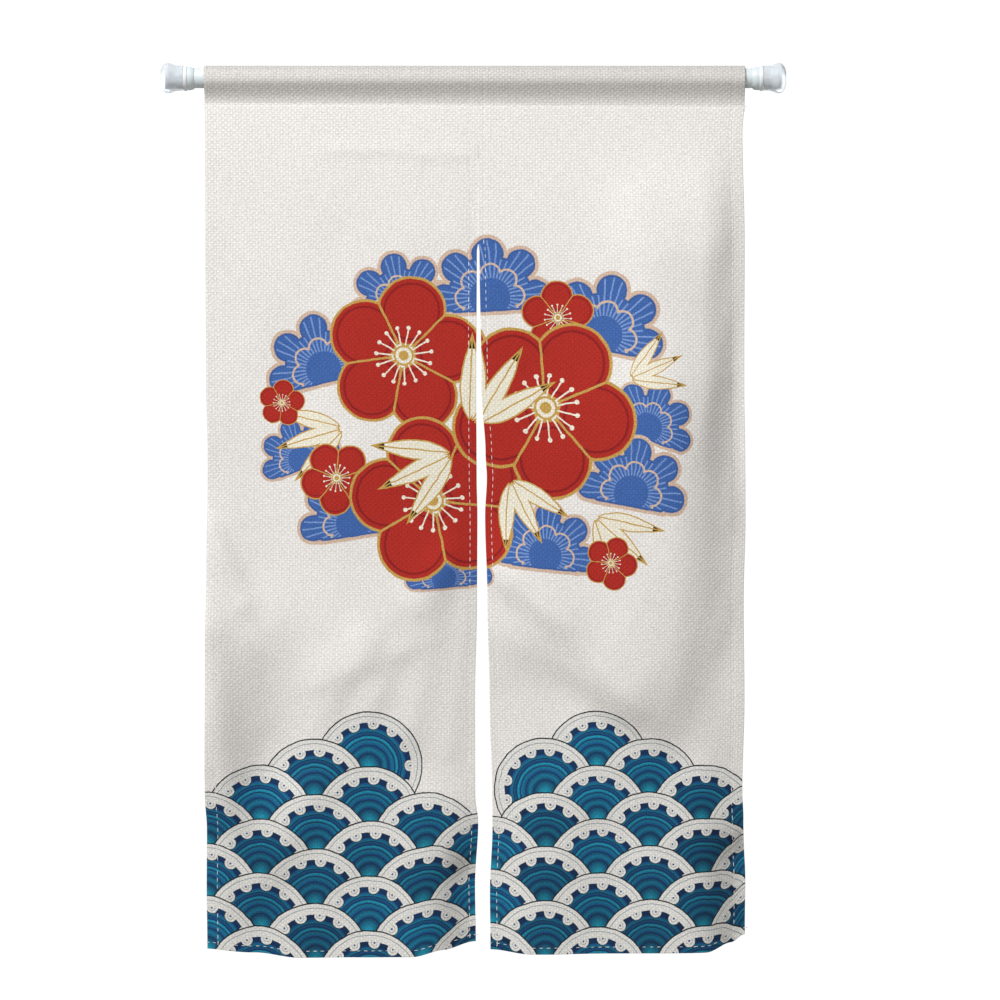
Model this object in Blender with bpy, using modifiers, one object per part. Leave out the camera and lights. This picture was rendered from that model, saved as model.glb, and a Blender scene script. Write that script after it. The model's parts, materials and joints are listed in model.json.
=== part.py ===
"""A two-panel noren doorway curtain hanging from its tension rod.

The origin is the centre of the rod's left end face, where it meets the door jamb. +X runs along
the rod, +Z is up, and the printed side faces -Y. "across" is measured from the cloth's left edge
along the rod, and "drop" from the rod's axis downwards. All sizes are in metres.
"""

import math
from collections import namedtuple

import bmesh
import bpy
from mathutils import Vector

# Tension rod
ROD_LENGTH = 1.000
TUBE_RADIUS = 0.016
TUBE_WALL = 0.0012
TUBE_SET_IN = 0.0083  # from a foot's end face to the tube's end, inside the foot
FIT_GAP = 0.0003
TURN_STEPS = 36
CORNER_ANGLE = math.radians(35)

# Rubber foot, measured along the rod from its end face
FOOT_FACE_RADIUS = 0.0080
FOOT_RIM_RADIUS = 0.0243
FOOT_RIM_AT = 0.0115
FOOT_NECK_RADIUS = 0.0199
FOOT_NECK_AT = 0.0262
FOOT_LENGTH = 0.0366
DOME_STEPS = 6
FLARE_STEPS = 4

# Plastic ferrule between the foot and the bare tube
LIP_RADIUS = 0.0205
LIP_WIDTH = 0.0055
FERRULE_RADIUS = 0.0192
FERRULE_END = 0.0540
CHAMFER = 0.0055
CHAMFER_RADIUS = 0.0172

# Cloth
CLOTH_LEFT = 0.0704  # from the rod's left end to the cloth's left edge
CLOTH_WIDTH = 0.8632
SEAM_ACROSS = 0.4373  # the sewn seam between the two panels, with the slit below it
FLAT_DROP = 1.4080
CLOTH_THICKNESS = 0.0016
HEM_THICKNESS = 0.0026
SIDE_HEM = 0.0175
SLIT_HEM = 0.0125
BOTTOM_HEM = 0.0175
SEAM_GAP = 0.0003  # between the two panels' folded edges, where they are sewn together

# Rod pocket
POCKET_CLEARANCE = 0.0026
POCKET_RADIUS = TUBE_RADIUS + POCKET_CLEARANCE + CLOTH_THICKNESS / 2
POCKET_SEAM_LEFT = 0.0345  # drop of the pocket's seam at the cloth's left edge
POCKET_SEAM_RIGHT = 0.0455
ARC_STEPS = 11
LEG_STEPS = 2

# Mesh spacing and merging
MERGE_DISTANCE = 0.00001
COLUMN_SPACING = 0.0230
ROW_SPACING = 0.0250

# How far each edge has drawn in at a drop: folds take up width, so the slit opens as it hangs
Edges = namedtuple("Edges", "drop left_side slit_left slit_right right_side")
EDGES = (
    Edges(0.040, 0.0000, 0.0000, 0.0000, 0.0000),
    Edges(0.085, 0.0005, 0.0000, 0.0000, 0.0034),
    Edges(0.259, 0.0010, 0.0000, 0.0000, 0.0000),
    Edges(0.278, 0.0010, 0.0027, 0.0027, 0.0000),
    Edges(0.499, 0.0024, 0.0038, 0.0060, 0.0000),
    Edges(0.600, 0.0048, 0.0032, 0.0124, -0.0014),
    Edges(0.640, 0.0048, 0.0030, 0.0145, -0.0014),
    Edges(0.700, 0.0048, 0.0018, 0.0117, -0.0014),
    Edges(0.835, 0.0046, 0.0024, 0.0155, 0.0016),
    Edges(0.995, 0.0043, 0.0056, 0.0190, 0.0002),
    Edges(1.155, 0.0032, 0.0053, 0.0229, 0.0036),
    Edges(1.205, 0.0055, 0.0005, 0.0235, 0.0016),
    Edges(1.315, 0.0042, 0.0058, 0.0194, -0.0032),
    Edges(1.410, 0.0048, 0.0045, 0.0203, -0.0024),
)

# How far the bottom hem has risen above the flat length
Lift = namedtuple("Lift", "across rise")
HEM_LIFTS = {
    "left_panel": (
        Lift(0.000, 0.0160),
        Lift(0.075, 0.0096),
        Lift(0.150, 0.0006),
        Lift(0.245, 0.0015),
        Lift(0.333, 0.0030),
        Lift(0.384, 0.0130),
        Lift(0.4373, 0.0240),
    ),
    "right_panel": (
        Lift(0.4373, 0.0135),
        Lift(0.505, 0.0065),
        Lift(0.640, 0.0080),
        Lift(0.797, 0.0095),
        Lift(0.840, 0.0230),
        Lift(0.8632, 0.0350),
    ),
}
LIFT_STARTS = 0.95  # drop below which the rise builds up

# Soft folds. Each stands towards the front along a line from its top to its end, and falls away
# over left_reach and right_reach on either side. A negative height is a trough.
Fold = namedtuple("Fold", "across_top drop_top across_end drop_end left_reach right_reach height")
FOLDS = {
    "left_panel": (
        Fold(0.210, 0.660, 0.225, 1.200, 0.130, 0.120, 0.0110),
        Fold(0.027, 0.720, 0.107, 0.854, 0.020, 0.050, 0.0050),
        Fold(-0.004, 0.890, 0.028, 1.150, 0.060, 0.044, 0.0300),
        Fold(0.069, 0.899, 0.076, 1.027, 0.030, 0.022, 0.0035),
        Fold(0.304, 0.912, 0.200, 0.957, 0.040, 0.020, 0.0036),
        Fold(0.392, 0.790, 0.331, 1.035, 0.080, 0.038, 0.0120),
        Fold(0.418, 0.862, 0.357, 1.020, 0.018, 0.016, 0.0034),
        Fold(0.152, 1.165, 0.078, 1.290, 0.070, 0.036, 0.0120),
        Fold(0.020, 1.260, 0.027, 1.400, 0.040, 0.036, 0.0100),
        Fold(0.385, 1.180, 0.352, 1.400, 0.080, 0.048, 0.0120),
        Fold(0.437, 1.300, 0.437, 1.420, 0.050, 0.050, -0.0240),
    ),
    "right_panel": (
        Fold(0.620, 0.560, 0.640, 0.900, 0.110, 0.110, 0.0100),
        Fold(0.809, 0.210, 0.794, 0.560, 0.120, 0.034, 0.0140),
        Fold(0.834, 0.400, 0.798, 0.530, 0.110, 0.028, 0.0150),
        Fold(0.742, 0.640, 0.742, 0.830, 0.110, 0.085, 0.0190),
        Fold(0.792, 0.830, 0.690, 1.060, 0.100, 0.046, 0.0170),
        Fold(0.840, 0.866, 0.806, 0.950, 0.016, 0.015, 0.0036),
        Fold(0.480, 0.905, 0.690, 1.000, 0.042, 0.100, 0.0090),
        Fold(0.478, 0.812, 0.548, 0.856, 0.024, 0.050, 0.0050),
        Fold(0.560, 1.150, 0.545, 1.400, 0.070, 0.070, 0.0110),
        Fold(0.790, 1.150, 0.776, 1.380, 0.090, 0.050, 0.0130),
        Fold(0.8632, 1.280, 0.8632, 1.420, 0.050, 0.050, -0.0260),
        Fold(0.4373, 1.000, 0.4373, 1.400, 0.045, 0.045, -0.0070),
    ),
}
FOLD_FADE = 0.050  # least distance over which a fold runs out past its ends
FOLDS_START = 0.070
FOLDS_FULL = 0.170

CLOTH_COLOUR = (0.83, 0.80, 0.77)
TUBE_COLOUR = (0.66, 0.72, 0.74)
FERRULE_COLOUR = (0.88, 0.91, 0.95)
FOOT_COLOUR = (0.70, 0.74, 0.78)


def smoothstep(value):
    """0 below 0, 1 above 1, and smooth between."""
    value = max(0.0, min(1.0, value))
    return value * value * (3 - 2 * value)


def from_table(rows, place, column):
    """A column's value at a place on the table's first column, smooth between its rows."""
    for before, after in zip(rows, rows[1:]):
        if place <= after[0]:
            share = smoothstep((place - before[0]) / (after[0] - before[0]))
            low, high = getattr(before, column), getattr(after, column)
            return low + (high - low) * share
    return getattr(rows[-1], column)


def fold_height(fold, across, drop):
    """How far one fold brings the cloth forward at a place on it."""
    run = Vector((fold.across_end - fold.across_top, fold.drop_end - fold.drop_top))
    length = run.length
    along = run / length
    offset = Vector((across - fold.across_top, drop - fold.drop_top))
    reached = offset.dot(along)
    past_end = max(0.0, -reached, reached - length)
    beside = offset.x * along.y - offset.y * along.x
    reach = fold.right_reach if beside > 0 else fold.left_reach
    fade = max(FOLD_FADE, fold.left_reach, fold.right_reach)
    return fold.height * math.exp(-((beside / reach) ** 2) - (past_end / fade) ** 2)


def forward(panel, across, drop):
    """How far the cloth hangs in front of the rod's axis."""
    hanging = smoothstep((drop - FOLDS_START) / (FOLDS_FULL - FOLDS_START))
    return hanging * sum(fold_height(fold, across, drop) for fold in FOLDS[panel])


def pocket_seam(across):
    """Drop of the pocket's seam, which slants a little."""
    return POCKET_SEAM_LEFT + (POCKET_SEAM_RIGHT - POCKET_SEAM_LEFT) * across / CLOTH_WIDTH


def pocket_profile(seam_drop):
    """The pocket's loop as (y, z) points, from the seam up behind the rod and down its front."""
    seam = Vector((0.0, -seam_drop))
    lean = math.acos(POCKET_RADIUS / seam_drop)
    arc = []
    for step in range(ARC_STEPS + 1):
        angle = lean + (2 * math.pi - 2 * lean) * step / ARC_STEPS
        arc.append(Vector((POCKET_RADIUS * math.sin(angle), -POCKET_RADIUS * math.cos(angle))))
    back_leg = [seam.lerp(arc[0], step / LEG_STEPS) for step in range(LEG_STEPS)]
    front_leg = [arc[-1].lerp(seam, (step + 1) / LEG_STEPS) for step in range(LEG_STEPS)]
    return back_leg + arc + front_leg


def spaced(start, end, first_step, last_step, spacing):
    """Places from start to end, with a hem's width at each end and even steps between."""
    inner_start, inner_end = start + first_step, end - last_step
    count = max(1, round((inner_end - inner_start) / spacing))
    inner = [inner_start + (inner_end - inner_start) * i / count for i in range(count + 1)]
    edges_in = [start] if first_step else []
    edges_out = [end] if last_step else []
    return edges_in + inner + edges_out


def hung_x(panel, flat_across, drop):
    """Where a place across the flat panel hangs, between its two drawn-in edges."""
    if panel == "left_panel":
        flat_low, flat_high = 0.0, SEAM_ACROSS
        low = from_table(EDGES, drop, "left_side")
        high = SEAM_ACROSS - SEAM_GAP / 2 - from_table(EDGES, drop, "slit_left")
    else:
        flat_low, flat_high = SEAM_ACROSS, CLOTH_WIDTH
        low = SEAM_ACROSS + SEAM_GAP / 2 + from_table(EDGES, drop, "slit_right")
        high = CLOTH_WIDTH - from_table(EDGES, drop, "right_side")
    share = (flat_across - flat_low) / (flat_high - flat_low)
    return CLOTH_LEFT + low + (high - low) * share


def panel_point(panel, flat_across, drop, in_hem):
    """A point of the hanging cloth below the pocket's seam."""
    rise = from_table(HEM_LIFTS[panel], flat_across, "rise")
    rise *= smoothstep((drop - LIFT_STARTS) / (FLAT_DROP - LIFT_STARTS))
    y = -forward(panel, flat_across, drop)
    if in_hem:
        y += (HEM_THICKNESS - CLOTH_THICKNESS) / 2  # a turned hem thickens the back only
    return Vector((hung_x(panel, flat_across, drop), y, rise - drop))


def sharp_corners(obj):
    """Keeps real corners crisp where the faces are shaded smooth."""
    obj.modifiers.new("corners", "EDGE_SPLIT").split_angle = CORNER_ANGLE


def solid_cloth(obj, hem_vertices):
    """Gives the sheet its thickness, more along its hems."""
    hems = obj.vertex_groups.new(name="hems")
    hems.add(hem_vertices, 1.0, "REPLACE")
    thickness = obj.modifiers.new("thickness", "SOLIDIFY")
    thickness.solidify_mode = "NON_MANIFOLD"
    thickness.nonmanifold_thickness_mode = "CONSTRAINTS"
    thickness.nonmanifold_merge_threshold = MERGE_DISTANCE
    thickness.thickness = HEM_THICKNESS
    thickness.offset = 0.0
    thickness.vertex_group = "hems"
    thickness.thickness_vertex_group = CLOTH_THICKNESS / HEM_THICKNESS


def make_panel(name, flat_low, flat_high, left_hem, right_hem, material, collection):
    """One cloth panel: its rod pocket, its hanging sheet and its three turned hems."""
    columns = spaced(flat_low, flat_high, left_hem, right_hem, COLUMN_SPACING)
    middle_seam = pocket_seam((flat_low + flat_high) / 2)
    drops = spaced(middle_seam, FLAT_DROP, 0.0, BOTTOM_HEM, ROW_SPACING)
    loop_rows = len(pocket_profile(middle_seam))
    last_row = loop_rows + len(drops) - 2
    last_column = len(columns) - 1

    mesh = bpy.data.meshes.new(name)
    bm = bmesh.new()
    bmesh.ops.create_grid(bm, x_segments=last_column, y_segments=last_row, size=0.5)
    hem_edge = []
    for vertex in bm.verts:
        column = round((vertex.co.x + 0.5) * last_column)
        row = round((vertex.co.y + 0.5) * last_row)
        across = columns[column]
        seam = pocket_seam(across)
        if row < loop_rows:
            y, z = pocket_profile(seam)[row]
            vertex.co = (hung_x(name, across, 0.0), y, z)
            continue
        below_seam = (drops[row - loop_rows + 1] - middle_seam) / (FLAT_DROP - middle_seam)
        in_hem = column in (0, last_column) or row == last_row
        vertex.co = panel_point(name, across, seam + (FLAT_DROP - seam) * below_seam, in_hem)
        if in_hem:
            hem_edge.append(vertex)
    # The loop's first row meets the seam's row here, so three faces share the pocket's seam.
    bmesh.ops.remove_doubles(bm, verts=bm.verts, dist=MERGE_DISTANCE)
    bmesh.ops.recalc_face_normals(bm, faces=bm.faces)
    bm.verts.index_update()
    hem_vertices = [vertex.index for vertex in hem_edge]
    bm.to_mesh(mesh)
    bm.free()
    mesh.materials.append(material)
    mesh.shade_smooth()

    obj = bpy.data.objects.new(name, mesh)
    collection.objects.link(obj)
    solid_cloth(obj, hem_vertices)
    sharp_corners(obj)


def foot_profile():
    """The rubber foot's section as (radius, height) points, its end face at height 0."""
    dome = []
    for step in range(DOME_STEPS + 1):
        angle = math.pi / 2 * step / DOME_STEPS
        radius = FOOT_FACE_RADIUS + (FOOT_RIM_RADIUS - FOOT_FACE_RADIUS) * math.sin(angle)
        dome.append((radius, FOOT_RIM_AT * (1 - math.cos(angle))))
    flare = []
    for step in range(1, FLARE_STEPS + 1):
        share = step / FLARE_STEPS
        radius = FOOT_RIM_RADIUS + (FOOT_NECK_RADIUS - FOOT_RIM_RADIUS) * smoothstep(share)
        flare.append((radius, FOOT_RIM_AT + (FOOT_NECK_AT - FOOT_RIM_AT) * share))
    neck = [(FOOT_NECK_RADIUS, FOOT_LENGTH)]
    socket_radius = TUBE_RADIUS + FIT_GAP
    socket_floor = TUBE_SET_IN - FIT_GAP
    socket = [(socket_radius, FOOT_LENGTH), (socket_radius, socket_floor), (0.0, socket_floor)]
    return [(0.0, 0.0)] + dome + flare + neck + socket


def ferrule_profile():
    """The ferrule's section: a raised lip against the foot, then a sleeve chamfered to the tube."""
    start = FOOT_LENGTH + FIT_GAP
    bore = TUBE_RADIUS + FIT_GAP
    return [
        (bore, start),
        (LIP_RADIUS, start),
        (LIP_RADIUS, start + LIP_WIDTH),
        (FERRULE_RADIUS, start + LIP_WIDTH),
        (FERRULE_RADIUS, FERRULE_END - CHAMFER),
        (CHAMFER_RADIUS, FERRULE_END),
        (bore, FERRULE_END),
    ]


def tube_profile():
    """The steel tube's section, from one foot's socket to the other's."""
    start, end = TUBE_SET_IN, ROD_LENGTH - TUBE_SET_IN
    inner = TUBE_RADIUS - TUBE_WALL
    return [(inner, start), (TUBE_RADIUS, start), (TUBE_RADIUS, end), (inner, end)]


def turned_outline(name, profile, is_ring, material):
    """A section for a Screw modifier to turn about Z. A ring's section closes on itself."""
    # The profiles rise along their outside, and a Screw needs them to fall there.
    points = [(radius, 0.0, height) for radius, height in reversed(profile)]
    last = len(points) - 1
    edges = [(i, i + 1) for i in range(last)] + ([(last, 0)] if is_ring else [])
    mesh = bpy.data.meshes.new(name)
    mesh.from_pydata(points, edges, [])
    mesh.materials.append(material)
    return mesh


def turn_along_rod(name, outline, from_right, collection):
    """A piece turned about the rod's axis, its heights counted from one end of the rod."""
    obj = bpy.data.objects.new(name, outline)
    collection.objects.link(obj)
    obj.location.x = ROD_LENGTH if from_right else 0.0
    obj.rotation_euler.y = math.radians(-90 if from_right else 90)
    turn = obj.modifiers.new("turn", "SCREW")
    turn.steps = TURN_STEPS
    turn.render_steps = TURN_STEPS
    turn.use_merge_vertices = True
    turn.merge_threshold = MERGE_DISTANCE
    sharp_corners(obj)


def make_material(name, colour, roughness, metallic=0.0):
    """A Principled material with a plain finish."""
    material = bpy.data.materials.new(name)
    material.use_nodes = True
    shader = material.node_tree.nodes["Principled BSDF"]
    shader.inputs["Base Color"].default_value = (*colour, 1.0)
    shader.inputs["Roughness"].default_value = roughness
    shader.inputs["Metallic"].default_value = metallic
    return material


def make_rod(collection):
    """The tube with a ferrule and a rubber foot at each end."""
    steel = make_material("painted_steel", TUBE_COLOUR, 0.35)
    plastic = make_material("white_plastic", FERRULE_COLOUR, 0.30)
    rubber = make_material("clear_rubber", FOOT_COLOUR, 0.45)
    tube = turned_outline("rod_tube", tube_profile(), True, steel)
    ferrule = turned_outline("ferrule", ferrule_profile(), True, plastic)
    foot = turned_outline("foot", foot_profile(), False, rubber)
    turn_along_rod("rod_tube", tube, False, collection)
    for side, from_right in (("left", False), ("right", True)):
        turn_along_rod(f"{side}_ferrule", ferrule, from_right, collection)
        turn_along_rod(f"{side}_foot", foot, from_right, collection)


def make_cloth(collection):
    """The two panels, sewn edge to edge above the slit."""
    linen = make_material("linen_weave", CLOTH_COLOUR, 0.85)
    make_panel("left_panel", 0.0, SEAM_ACROSS, SIDE_HEM, SLIT_HEM, linen, collection)
    make_panel("right_panel", SEAM_ACROSS, CLOTH_WIDTH, SLIT_HEM, SIDE_HEM, linen, collection)


def main():
    for obj in list(bpy.data.objects):
        bpy.data.objects.remove(obj)
    collection = bpy.data.collections.new("noren_curtain")
    bpy.context.scene.collection.children.link(collection)
    make_rod(collection)
    make_cloth(collection)


main()
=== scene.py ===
"""A two-panel noren doorway curtain on its tension rod, dressed for a studio picture.

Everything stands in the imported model's frame. The origin is the centre of the rod's left end
face, +X runs along the rod, +Z is up, and the printed side of the cloth faces -Y. "across" is
measured from the cloth's left edge, and "drop" from the rod's axis downwards. Sizes are in metres.
"""

import json
import math
from collections import namedtuple

import bmesh
import bpy
import numpy as np
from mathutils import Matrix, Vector

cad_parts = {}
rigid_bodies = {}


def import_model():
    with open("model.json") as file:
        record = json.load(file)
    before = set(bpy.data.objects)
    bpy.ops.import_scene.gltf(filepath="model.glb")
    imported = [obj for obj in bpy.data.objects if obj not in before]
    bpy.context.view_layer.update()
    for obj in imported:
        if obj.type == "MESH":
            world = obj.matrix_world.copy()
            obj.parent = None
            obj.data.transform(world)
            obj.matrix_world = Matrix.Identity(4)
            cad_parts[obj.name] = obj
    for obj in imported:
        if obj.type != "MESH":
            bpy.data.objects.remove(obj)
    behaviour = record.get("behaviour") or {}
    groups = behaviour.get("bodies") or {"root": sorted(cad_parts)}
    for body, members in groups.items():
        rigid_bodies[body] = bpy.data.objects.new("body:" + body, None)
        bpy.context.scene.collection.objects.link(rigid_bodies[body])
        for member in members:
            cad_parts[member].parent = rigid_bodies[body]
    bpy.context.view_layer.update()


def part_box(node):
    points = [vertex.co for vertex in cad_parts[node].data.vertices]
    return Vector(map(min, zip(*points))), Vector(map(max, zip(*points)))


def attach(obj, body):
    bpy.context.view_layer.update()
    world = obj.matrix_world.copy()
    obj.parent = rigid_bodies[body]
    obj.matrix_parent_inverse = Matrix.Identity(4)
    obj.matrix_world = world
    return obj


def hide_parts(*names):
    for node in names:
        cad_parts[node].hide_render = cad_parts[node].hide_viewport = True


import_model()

# Rod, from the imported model
ROD_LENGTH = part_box("right_foot")[1].x
TUBE_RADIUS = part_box("rod_tube")[1].z
TUBE_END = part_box("rod_tube")[0].x
FERRULE_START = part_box("left_ferrule")[0].x
FERRULE_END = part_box("left_ferrule")[1].x
LIP_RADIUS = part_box("left_ferrule")[1].z
FOOT_RIM_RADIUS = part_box("left_foot")[1].z
FOOT_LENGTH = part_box("left_foot")[1].x
LIP_WIDTH = 0.0055
TUBE_WALL = 0.0012
FIT_GAP = 0.0003  # between the tube and what is pushed on it
TURN_STEPS = 96
MERGE_DISTANCE = 0.000001
SHARP_ANGLE = math.radians(40)
CLOTH_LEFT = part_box("left_panel")[0].x

# Cloth, as cut and sewn
CLOTH_WIDTH = 0.8632
SEAM_ACROSS = 0.4373
FLAT_DROP = 1.4080
CLOTH_THICKNESS = 0.00055
LAYER_GAP = 0.00085  # between the middles of two layers of a hem
POCKET_CLEARANCE = 0.0032  # from the tube to the middle of the cloth round it
POCKET_RADIUS = TUBE_RADIUS + POCKET_CLEARANCE
POCKET_SEAM_LEFT = 0.0415
POCKET_SEAM_RIGHT = 0.0455
POCKET_LEAVES = math.radians(55)  # where the cloth leaves the rod, from its lowest line
POCKET_PAINTED_SHADE = 0.11  # painted shade: how much darker the pocket's cloth is made round the rod
CROWN_PAINTED_SHADE = 0.30  # more painted shade, along the top of the rod
CROWN_STARTS = 0.042  # where the stronger painted shade starts, above the pocket's seam along the cloth
CROWN_FULL = 0.060
POCKET_ALLOWANCE = 0.0080  # the cloth behind the pocket's seam, below its stitches
POCKET_BACK_GAP = 3 * LAYER_GAP
BOTTOM_HEM = 0.0105
SEAM_OVERLAP = 0.0004  # how far each panel reaches over the centre seam, so that no gap shows

COLUMN_SPACING = 0.0045
ROW_SPACING = 0.0050
FIRST_ROW_SHARE = 0.3  # the first row below the pocket's seam, as a share of the row spacing
LEG_ROWS = 8  # in each leg of the pocket, from its seam to the rod
LOOP_ROWS = 28  # round the rod
LEG_BOW = 0.35  # how far a leg keeps straight at its ends, as a share of its length
SLOPE_STEP = 0.001
HEM_SHARES = (0.0, 0.04, 0.30, 0.60, 0.86, 1.0, 1.14)  # places in a hem, where its stitches are at 1
STITCH_SHARE = 1.0
STITCH_SINK = 0.00030  # how deep the thread draws the cloth in

# How far each edge has drawn in at a drop: folds take up width, so the slit opens as it hangs
Edges = namedtuple("Edges", "drop left_side slit_left slit_right right_side")
EDGES = (
    Edges(0.040, 0.0000, 0.0000, 0.0000, 0.0000),
    Edges(0.085, 0.0005, 0.0000, 0.0000, 0.0034),
    Edges(0.259, 0.0010, 0.0000, 0.0000, 0.0000),
    Edges(0.278, 0.0010, 0.0027, 0.0027, 0.0000),
    Edges(0.499, 0.0024, 0.0038, 0.0060, 0.0000),
    Edges(0.600, 0.0048, 0.0032, 0.0124, -0.0014),
    Edges(0.640, 0.0048, 0.0030, 0.0145, -0.0014),
    Edges(0.700, 0.0048, 0.0018, 0.0117, -0.0014),
    Edges(0.835, 0.0046, 0.0024, 0.0155, 0.0016),
    Edges(0.995, 0.0043, 0.0056, 0.0190, 0.0002),
    Edges(1.155, 0.0032, 0.0053, 0.0229, 0.0036),
    Edges(1.205, 0.0055, 0.0005, 0.0235, 0.0016),
    Edges(1.315, 0.0042, 0.0058, 0.0194, -0.0032),
    Edges(1.410, 0.0048, 0.0045, 0.0203, -0.0024),
)

# How far the bottom hem has risen above the flat length
Lift = namedtuple("Lift", "across rise")
LEFT_LIFTS = (
    Lift(0.000, 0.0160),
    Lift(0.075, 0.0096),
    Lift(0.150, 0.0006),
    Lift(0.245, 0.0015),
    Lift(0.333, 0.0030),
    Lift(0.384, 0.0130),
    Lift(0.4373, 0.0240),
)
RIGHT_LIFTS = (
    Lift(0.4373, 0.0135),
    Lift(0.505, 0.0065),
    Lift(0.640, 0.0080),
    Lift(0.797, 0.0095),
    Lift(0.840, 0.0230),
    Lift(0.8632, 0.0350),
)
LIFT_STARTS = 0.95  # the drop where the cloth starts to rise

# Soft folds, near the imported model's. Each stands towards the front along a line from its top to its end,
# and falls away over left_reach and right_reach on either side. A negative height is a trough.
Fold = namedtuple("Fold", "across_top drop_top across_end drop_end left_reach right_reach height")
LEFT_FOLDS = (
    Fold(0.215, 0.660, 0.225, 1.200, 0.080, 0.140, 0.0105),
    Fold(0.025, 0.725, 0.100, 0.860, 0.020, 0.060, 0.0035),
    Fold(-0.005, 0.900, 0.025, 1.150, 0.090, 0.050, 0.0280),
    Fold(0.070, 0.900, 0.075, 1.025, 0.030, 0.025, 0.0020),
    Fold(0.305, 0.915, 0.200, 0.955, 0.040, 0.025, 0.0045),
    Fold(0.375, 0.790, 0.330, 1.030, 0.055, 0.035, 0.0090),
    Fold(0.152, 1.165, 0.080, 1.290, 0.060, 0.036, 0.0120),
    Fold(0.020, 1.260, 0.027, 1.400, 0.040, 0.036, 0.0100),
    Fold(0.385, 1.180, 0.352, 1.400, 0.070, 0.050, 0.0110),
    Fold(0.437, 1.300, 0.437, 1.420, 0.050, 0.050, -0.0240),
)
RIGHT_FOLDS = (
    Fold(0.620, 0.560, 0.640, 0.900, 0.110, 0.110, 0.0020),
    Fold(0.795, 0.205, 0.790, 0.560, 0.200, 0.045, 0.0190),
    Fold(0.825, 0.400, 0.795, 0.515, 0.120, 0.034, 0.0080),
    Fold(0.738, 0.625, 0.738, 0.820, 0.170, 0.060, 0.0170),
    Fold(0.800, 0.820, 0.700, 1.060, 0.090, 0.046, 0.0070),
    Fold(0.480, 0.895, 0.695, 1.000, 0.040, 0.110, 0.0105),
    Fold(0.478, 0.810, 0.555, 0.860, 0.026, 0.055, 0.0070),
    Fold(0.560, 1.150, 0.545, 1.400, 0.070, 0.075, 0.0090),
    Fold(0.785, 1.150, 0.776, 1.380, 0.100, 0.055, 0.0120),
    Fold(0.8632, 1.280, 0.8632, 1.420, 0.050, 0.050, -0.0260),
    Fold(0.4373, 1.000, 0.4373, 1.400, 0.045, 0.045, -0.0060),
)
FOLD_FADE = 0.050  # the least length over which a fold fades beyond its ends
FOLDS_START = 0.050  # the folds grow from nothing at this drop
FOLDS_FULL = 0.300  # and have their full height from this one on

# Creases and smaller folds that only the thin sheet shows
LEFT_CREASES = (
    Fold(0.004, 0.725, 0.058, 0.835, 0.026, 0.020, 0.0085),
    Fold(0.000, 0.790, 0.000, 0.865, 0.070, 0.050, 0.0130),
    Fold(0.060, 0.910, -0.030, 1.075, 0.065, 0.080, 0.0165),
    Fold(0.215, 0.115, 0.295, 0.115, 0.010, 0.024, 0.0080),
    Fold(0.350, 0.122, 0.400, 0.122, 0.010, 0.024, 0.0060),
    Fold(0.270, 0.890, 0.212, 0.975, 0.090, 0.028, 0.0058),
    Fold(0.304, 0.930, 0.262, 1.010, 0.038, 0.020, 0.0025),
    Fold(0.420, 0.800, 0.390, 1.060, 0.050, 0.028, 0.0055),
    Fold(0.405, 0.240, 0.405, 0.110, 0.020, 0.026, 0.0015),
    Fold(0.382, 0.780, 0.345, 0.840, 0.030, 0.028, 0.0055),
    Fold(0.330, 0.740, 0.300, 0.860, 0.055, 0.050, 0.0022),
    Fold(0.250, 0.900, 0.280, 0.980, 0.025, 0.025, 0.0045),
    Fold(0.060, 0.930, 0.100, 1.020, 0.040, 0.040, 0.0025),
)
RIGHT_CREASES = (
    Fold(0.822, 0.180, 0.822, 0.250, 0.060, 0.020, 0.0040),
    Fold(0.832, 0.850, 0.815, 0.905, 0.020, 0.015, 0.0012),
    Fold(0.775, 0.615, 0.757, 0.775, 0.120, 0.055, 0.0080),
    Fold(0.842, 0.395, 0.835, 0.550, 0.095, 0.035, -0.0120),
    Fold(0.495, 0.805, 0.660, 0.972, 0.036, 0.080, 0.0155),
    Fold(0.530, 0.900, 0.648, 1.005, 0.023, 0.055, 0.0052),
    Fold(0.835, 0.490, 0.835, 0.700, 0.035, 0.015, 0.0034),
    Fold(0.600, 0.860, 0.560, 0.960, 0.050, 0.060, -0.0035),
    Fold(0.700, 0.200, 0.725, 0.465, 0.045, 0.070, 0.0060),
    Fold(0.460, 0.960, 0.520, 1.045, 0.045, 0.035, 0.0028),
    Fold(0.790, 0.700, 0.805, 0.875, 0.040, 0.045, 0.0030),
)
CREASE_FADE = 0.030  # the same for a crease

# Slow unevenness over the whole cloth: waves to a metre each way, and a height
Ripple = namedtuple("Ripple", "across drop phase height")
RIPPLES = (
    Ripple(5.3, 1.9, 0.4, 0.00055),
    Ripple(-3.1, 3.7, 2.1, 0.00050),
    Ripple(8.7, -4.6, 1.2, 0.00022),
    Ripple(12.1, 6.3, 4.0, 0.00012),
)

# Stitches, drawn thicker than real thread so that they show
STITCH_PITCH = 0.0115
STITCH_LENGTH = 0.0080
STITCH_THICKNESS = 0.0012
STITCH_SIZES = (0.86, 1.08)  # smallest and largest, as a share of the sizes above

# Weave, drawn coarser than the real cloth, at the spacing that shows in the picture
REPEAT_ACROSS = 0.0089  # two threads
REPEAT_DOWN = 0.0078
CROSSING_CONTRAST = 0.080  # from one crossing to the next, over and under
GRID_CONTRAST = 0.110  # from a crossing to the gaps round it
WEAVE_DEPTH = 0.00012
Yarn = namedtuple("Yarn", "across down contrast")  # unevenness: patches to a metre each way
YARNS = (Yarn(300.0, 340.0, 0.60), Yarn(45.0, 400.0, 0.20), Yarn(380.0, 40.0, 0.20), Yarn(9.0, 9.0, 0.05))
CROSSING_LIFT = 0.3  # how far the crossings stand out of the gaps, as a share of the lumps' height
INK_WANDER = 0.0030  # how far the ink's edge wanders

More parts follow.
